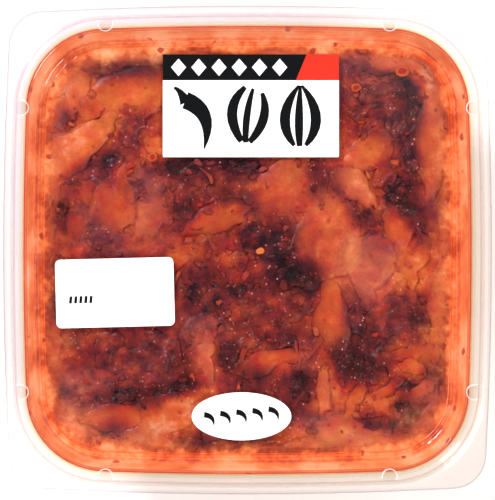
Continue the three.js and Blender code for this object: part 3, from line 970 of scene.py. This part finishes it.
def paper(name, card, rough=0.45, shine=0.3):
    """Coated paper, faintly uneven, in one printed colour."""
    material, start = new_finish(name)
    place = start.add("ShaderNodeTexCoord", out="Object")
    pulp = noise(start, place, 2500)
    worn = mix_colour(start, pulp * 0.006, tint(*card), tint(225, 222, 220))
    relief = start.add("ShaderNodeBump", None, {"Strength": 0.2, "Distance": 0.05 * MM, "Height": pulp})
    sheet = start.add("ShaderNodeBsdfPrincipled", None, {
        "Base Color": worn, "Roughness": rough + pulp * 0.15, "Normal": relief, "Specular IOR Level": shine,
    })
    start.add("ShaderNodeOutputMaterial", None, {"Surface": sheet})
    return material


def cut_out(outline, place, foot=INK_FOOT, thick=INK_THICK):
    """A plate, or a field of ink, cut to an outline of (x, y) points in mm that runs counter-clockwise."""
    plate = draw_line("plate", [Vector((x, y, foot)) * MM for x, y in outline])
    bpy.ops.mesh.select_all(action="SELECT")
    bpy.ops.mesh.edge_face_add()
    bpy.ops.mesh.extrude_region_move(TRANSFORM_OT_translate={"value": (0, 0, thick * MM)})
    face_outwards()
    finish(plate)
    bpy.ops.object.transform_apply()
    plate.matrix_world = place
    bpy.ops.object.transform_apply()
    return plate


def arc(x, y, across, up, start, sweep, steps):
    """Points in mm along an elliptical arc, angles in degrees."""
    for i in range(steps + 1):
        angle = math.radians(start + sweep * i / steps)
        yield x + across * math.cos(angle), y + up * math.sin(angle)


def rounded(wide, high, corner):
    """The outline of a label with round corners, about its middle."""
    for i, (sx, sy) in enumerate(((1, -1), (1, 1), (-1, 1), (-1, -1))):
        yield from arc(sx * (wide / 2 - corner), sy * (high / 2 - corner), corner, corner, 90 * i - 90, 90, 5)


def tapered(points, widths, steps=9):
    """The outline of a brush stroke along a bend through three points, as wide at each as told, in mm."""
    first, bend, last = [Vector(point) for point in points]
    left, right = [], []
    for i in range(steps + 1):
        t = i / steps
        shares = ((1 - t) ** 2, 2 * t * (1 - t), t * t)
        middle = first * shares[0] + bend * shares[1] + last * shares[2]
        ahead = (bend - first) * (1 - t) + (last - bend) * t
        half = sum(share * width for share, width in zip(shares, widths)) / 2
        side = Vector((-ahead.y, ahead.x)).normalized() * half
        left.append(tuple(middle + side))
        right.append(tuple(middle - side))
    return right + left[::-1]


def stick(pieces, name, material, node):
    piece = join(pieces, name)
    piece.data.materials.append(material)
    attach(piece, "root")
    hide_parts(node)


def label_place(node, turn=0.0):
    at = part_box(node)
    middle = (at[0] + at[1]) / 2
    return Matrix.Translation((middle[0], middle[1], 0)) @ Matrix.Rotation(math.radians(turn), 4, "Z")


white = paper("label_paper", PAPER)
black_ink = paper("black_ink", BLACK, 0.12, 0.1)
red_ink = paper("red_ink", RED, 0.12, 0.1)

# Title label: a black band with a slanted end, a red field beside it, and three pictures on white below.
TITLE_WIDE, TITLE_HIGH, BAND_HIGH = 47.0, 27.4, 6.9
BAND_TOP = TITLE_HIGH / 2
BAND_FOOT = BAND_TOP - BAND_HIGH
title = label_place("title_label")
sheet = cut_out(rounded(TITLE_WIDE, TITLE_HIGH, 0.3), title, LABEL_FOOT, LABEL_THICK)
stick([sheet], "title_paper", white, "title_label")
slant = [(12.0, BAND_FOOT), (14.9, BAND_TOP)]
band = [(-TITLE_WIDE / 2, BAND_FOOT), *slant, (-TITLE_WIDE / 2, BAND_TOP)]
field = [slant[0], (TITLE_WIDE / 2, BAND_FOOT), (TITLE_WIDE / 2, BAND_TOP), slant[1]]
stick([cut_out(band, title)], "title_band", black_ink, "title_label")
stick([cut_out(field, title)], "title_red_field", red_ink, "title_label")
lozenges = []
for i in range(6):
    x, y = -19.3 + 5.4 * i, (BAND_FOOT + BAND_TOP) / 2
    lozenge = [(x - 2.0, y), (x, y - 2.3), (x + 2.0, y), (x, y + 2.3)]
    lozenges.append(cut_out(lozenge, title, INK_FOOT + INK_THICK))
stick(lozenges, "title_lozenges", white, "title_label")

chili = [
    tapered([(-17.5, 1.5), (-9.5, -1.5), (-12.5, -11.5)], (4.6, 4.6, 0.3)),
    tapered([(-20.5, 4.8), (-19.0, 4.5), (-17.3, 0.9)], (0.8, 1.0, 3.4)),
]
cabbage = [
    tapered([(-2.5, -9.5), (-8.0, -1.0), (-1.5, 5.0)], (1.6, 4.2, 1.2)),
    tapered([(-1.4, -9.8), (-1.6, -2.0), (0.6, 4.6)], (1.4, 2.6, 0.8)),
    tapered([(-0.4, -9.7), (5.5, -3.5), (3.0, 3.4)], (1.4, 3.8, 1.0)),
]
garlic = [
    tapered([(12.8, 5.4), (6.0, -3.5), (11.6, -10.6)], (0.6, 4.8, 1.0)),
    tapered([(13.2, 5.4), (12.6, -4.0), (13.0, -10.8)], (0.6, 3.4, 1.4)),
    tapered([(13.6, 5.4), (20.6, -3.5), (14.6, -10.6)], (0.6, 4.8, 1.0)),
]
pictures = [
    cut_out(stroke, title, thick=INK_THICK * (1 + i / 10))
    for i, stroke in enumerate(chili + cabbage + garlic)
]
stick(pictures, "title_pictures", black_ink, "title_label")

# Date label: left blank, but for a short row of ticks where a date would be stamped.
date = label_place("date_label", 1.4)
sheet = cut_out(rounded(31.6, 18.3, 1.4), date, LABEL_FOOT, LABEL_THICK)
stick([sheet], "date_paper", white, "date_label")
ticks = []
for i in range(5):
    x, y = -12.3 + 1.35 * i, -2.6
    tick = [(x, y), (x + 0.75, y), (x + 0.95, y + 1.9), (x + 0.2, y + 1.9)]
    ticks.append(cut_out(tick, date))
stick(ticks, "date_ticks", black_ink, "date_label")

# Oval label: a rising row of five small chilies.
oval = label_place("oval_label")
sheet = cut_out(arc(0, 0, 13.3, 6.4, 0, 352.5, 47), oval, LABEL_FOOT, LABEL_THICK)
stick([sheet], "oval_paper", white, "oval_label")
chilies = []
for i in range(5):
    x, y = -8.6 + 4.3 * i, -0.75 + 0.37 * i
    pod = tapered([(x - 1.4, y + 1.2), (x + 1.4, y + 0.9), (x + 1.2, y - 1.7)], (1.5, 1.5, 0.1), 6)
    chilies.append(cut_out(pod, oval))
stick(chilies, "oval_chilies", black_ink, "oval_label")


# The studio: a matt pale table, a soft bright room that goes dark straight overhead so that the lid stays
# clear, two softboxes, and a camera straight above that takes in a little more than the lid.
bpy.ops.object.select_all(action="DESELECT")
bpy.ops.mesh.primitive_plane_add(size=2.4, location=(0, 0, -0.2 * MM))
table = bpy.context.object
table.name = "pale_table"
material, start = new_finish("pale_board")
board = start.add("ShaderNodeBsdfPrincipled", None, {"Base Color": (0.93, 0.93, 0.93, 1), "Roughness": 0.8})
start.add("ShaderNodeOutputMaterial", None, {"Surface": board})
table.data.materials.append(material)

world = bpy.data.worlds.new("soft_room")
bpy.context.scene.world = world
world.use_nodes = True
sky = Mixed(world.node_tree)
world.node_tree.nodes.clear()
upward = sky.add("ShaderNodeSeparateXYZ", None, {0: sky.add("ShaderNodeTexCoord", out="Generated")}, "Z")
bright = ramp(sky, upward, 0.90, 0.965, 0.93, 0.02)
glow = sky.add("ShaderNodeBackground", None, {"Color": (1.0, 0.985, 0.985, 1), "Strength": bright})
sky.add("ShaderNodeOutputWorld", None, {"Surface": glow})


def softbox(name, place, size, watts, colour):
    lamp = bpy.data.lights.new(name, "AREA")
    lamp.shape, lamp.size, lamp.size_y = "RECTANGLE", size[0], size[1]
    lamp.energy, lamp.color = watts, colour
    light = bpy.data.objects.new(name, lamp)
    bpy.context.scene.collection.objects.link(light)
    light.location = place
    light.rotation_euler = (-Vector(place)).to_track_quat("-Z", "Y").to_euler()


KEY_WATTS, FILL_WATTS = 5.4, 4.2
softbox("key", (-0.42, 0.42, 0.62), (0.22, 0.14), KEY_WATTS, (1.0, 0.97, 1.0))
softbox("fill", (0.48, -0.30, 0.74), (0.34, 0.34), FILL_WATTS, (1.0, 0.95, 0.88))

FOCAL_LENGTH, SENSOR = 100, 36
SEEN_AT_LID = 0.1306 * 500 / 495     # how far the longer side of the picture reaches at the lid, in m
LID_HEIGHT = 0.045
lens = bpy.data.cameras.new("camera")
lens.lens, lens.sensor_width = FOCAL_LENGTH, SENSOR
camera = bpy.data.objects.new("camera", lens)
bpy.context.scene.collection.objects.link(camera)
camera.location = (0.0, 0.0, LID_HEIGHT + SEEN_AT_LID * FOCAL_LENGTH / SENSOR)
bpy.context.scene.camera = camera
bpy.context.scene.view_settings.view_transform = "Standard"
bpy.context.scene.cycles.transparent_max_bounces = 24
